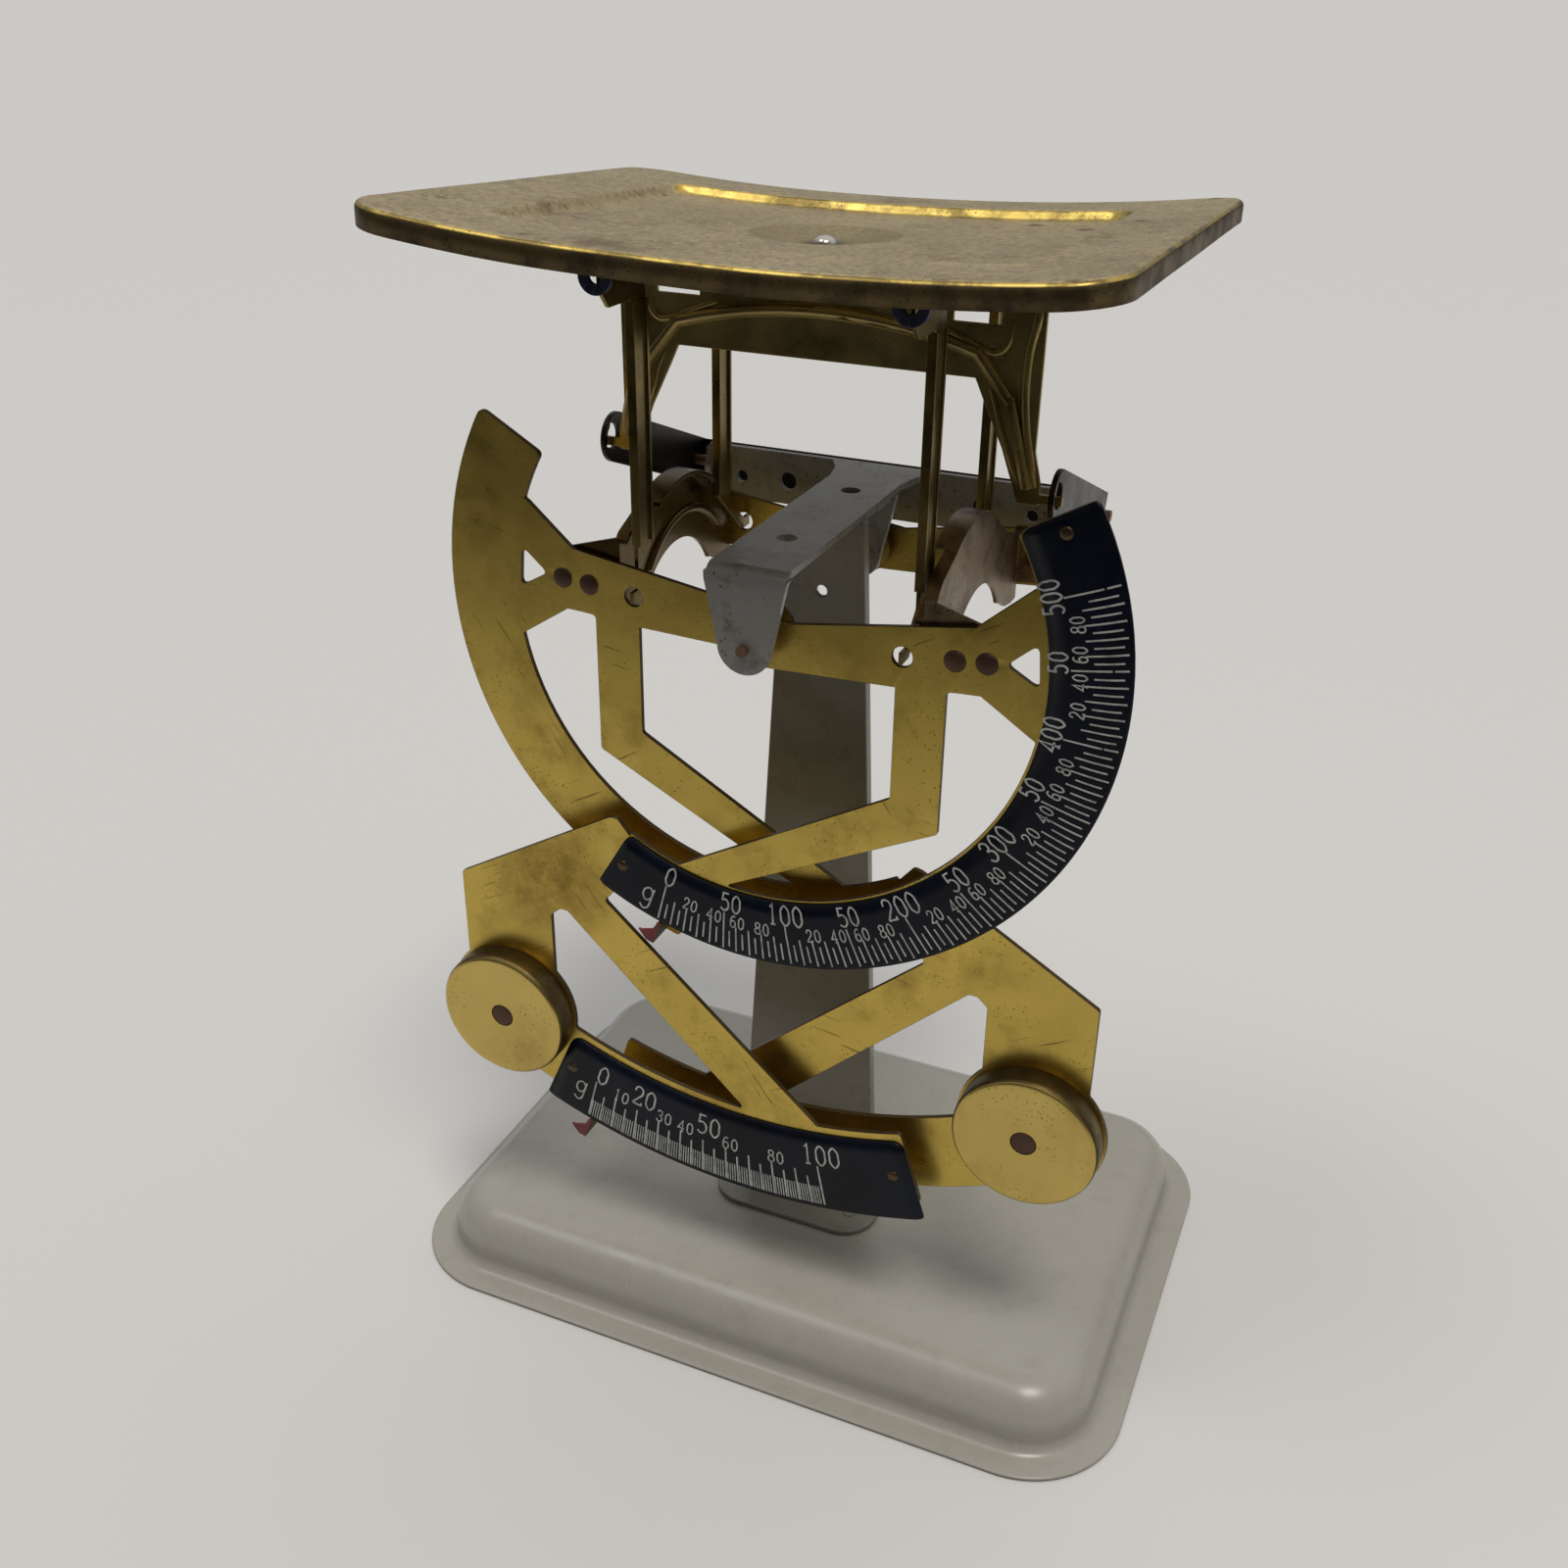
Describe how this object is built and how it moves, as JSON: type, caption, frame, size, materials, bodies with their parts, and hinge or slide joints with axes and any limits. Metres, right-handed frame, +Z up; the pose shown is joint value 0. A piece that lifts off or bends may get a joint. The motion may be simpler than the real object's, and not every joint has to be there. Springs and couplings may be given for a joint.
{
  "type": "postal scale",
  "caption": "Two-pendulum postal scale: mirrored brass sector plates with counterweights turn against each other as a bowed brass pan on legs goes down over a grey steel stand.",
  "frame": {"origin": "middle of the base's footprint, on the table", "axes": "+X to the right seen from the front, +Y to the back, +Z up"},
  "size_m": [0.192, 0.1412, 0.2733],
  "materials": {
    "grey_enamel": "satin",
    "bracket_enamel": "satin",
    "pin_steel": "aged",
    "turned_brass": "aged",
    "plate_brass": "satin",
    "scale_enamel": "gloss",
    "small_rivet_brass": "aged",
    "rusty_rivet": "aged",
    "weight_brass": "satin",
    "bracket_brass": "aged",
    "pointer_red": "satin",
    "leg_brass": "aged",
    "pan_brass": "aged",
    "trestle_brass": "aged",
    "blued_steel": "blued",
    "dark_steel": "dark"
  },
  "bodies": {
    "stand": {"base_shell": "grey_enamel", "post": "grey_enamel", "post_rivets": "grey_enamel", "axle_bracket": "bracket_enamel", "rear_tongue": "bracket_enamel", "front_pivot_pin": "pin_steel", "rear_pivot_pin": "pin_steel", "pivot_spacers": "turned_brass", "pin_clips": "pin_steel", "yoke_pins": "dark_steel"},
    "front_pendulum": {"front_sector_plate": "plate_brass", "main_scale_strip": "scale_enamel", "fine_scale_strip": "scale_enamel", "scale_rivets": "small_rivet_brass", "front_counterweight": "weight_brass", "front_weight_rivet": "rusty_rivet", "right_arch_bracket": "bracket_brass", "right_lever": "plate_brass", "right_bracket_rivets": "rusty_rivet"},
    "rear_pendulum": {"rear_sector_plate": "plate_brass", "rear_counterweight": "weight_brass", "rear_weight_rivet": "rusty_rivet", "left_arch_bracket": "bracket_brass", "left_lever": "plate_brass", "left_bracket_rivets": "rusty_rivet", "upper_pointer": "pointer_red", "lower_pointer": "pointer_red"},
    "front_right_leg": {"front_right_leg": "leg_brass"},
    "rear_right_leg": {"rear_right_leg": "leg_brass"},
    "front_left_leg": {"front_left_leg": "leg_brass"},
    "rear_left_leg": {"rear_left_leg": "leg_brass"},
    "pan_carriage": {"pan": "pan_brass", "pan_screw": "turned_brass", "left_rail": "blued_steel", "right_rail": "blued_steel", "rail_rivets": "turned_brass", "lug_pins": "turned_brass", "trestle": "trestle_brass"},
    "guide_yoke": {"guide_yoke": "dark_steel"}
  },
  "joints": [
    {"name": "front_swing", "type": "hinge", "parent": "stand", "child": "front_pendulum", "pos_m": [0, -0.0452, 0.19], "axis": [0, 1, 0], "range_deg": [0, 63]},
    {"name": "rear_swing", "type": "hinge", "parent": "stand", "child": "rear_pendulum", "pos_m": [0, -0.0388, 0.19], "axis": [0, -1, 0], "range_deg": [0, 63]},
    {"name": "pan_drop", "type": "slide", "parent": "stand", "child": "pan_carriage", "axis": [0, 0, -1], "range_m": [0, 0.03117]},
    {"name": "yoke_swing", "type": "hinge", "parent": "stand", "child": "guide_yoke", "pos_m": [0, 0.0306, 0.2015], "axis": [1, 0, 0], "range_deg": [0, 42.6]},
    {"name": "front_right_leg_swing", "type": "hinge", "parent": "front_pendulum", "child": "front_right_leg", "pos_m": [0.0318, -0.046, 0.19182], "axis": [0, -1, 0], "range_deg": [0, 49.6]},
    {"name": "rear_right_leg_swing", "type": "hinge", "parent": "front_pendulum", "child": "rear_right_leg", "pos_m": [0.0318, 0.0215, 0.19182], "axis": [0, -1, 0], "range_deg": [0, 49.6]},
    {"name": "front_left_leg_swing", "type": "hinge", "parent": "rear_pendulum", "child": "front_left_leg", "pos_m": [-0.0318, -0.039, 0.19182], "axis": [0, 1, 0], "range_deg": [0, 49.6]},
    {"name": "rear_left_leg_swing", "type": "hinge", "parent": "rear_pendulum", "child": "rear_left_leg", "pos_m": [-0.0318, 0.0185, 0.19182], "axis": [0, 1, 0], "range_deg": [0, 49.6]}
  ],
  "couplings": [
    {"joint": "rear_swing", "follows": "front_swing", "ratio": 1},
    {"joint": "pan_drop", "follows": "front_swing", "m_per_rad": 0.028345},
    {"joint": "yoke_swing", "follows": "front_swing", "ratio": 0.67612},
    {"joint": "front_right_leg_swing", "follows": "front_swing", "ratio": 0.78722},
    {"joint": "rear_right_leg_swing", "follows": "front_swing", "ratio": 0.78722},
    {"joint": "front_left_leg_swing", "follows": "front_swing", "ratio": 0.78722},
    {"joint": "rear_left_leg_swing", "follows": "front_swing", "ratio": 0.78722}
  ]
}
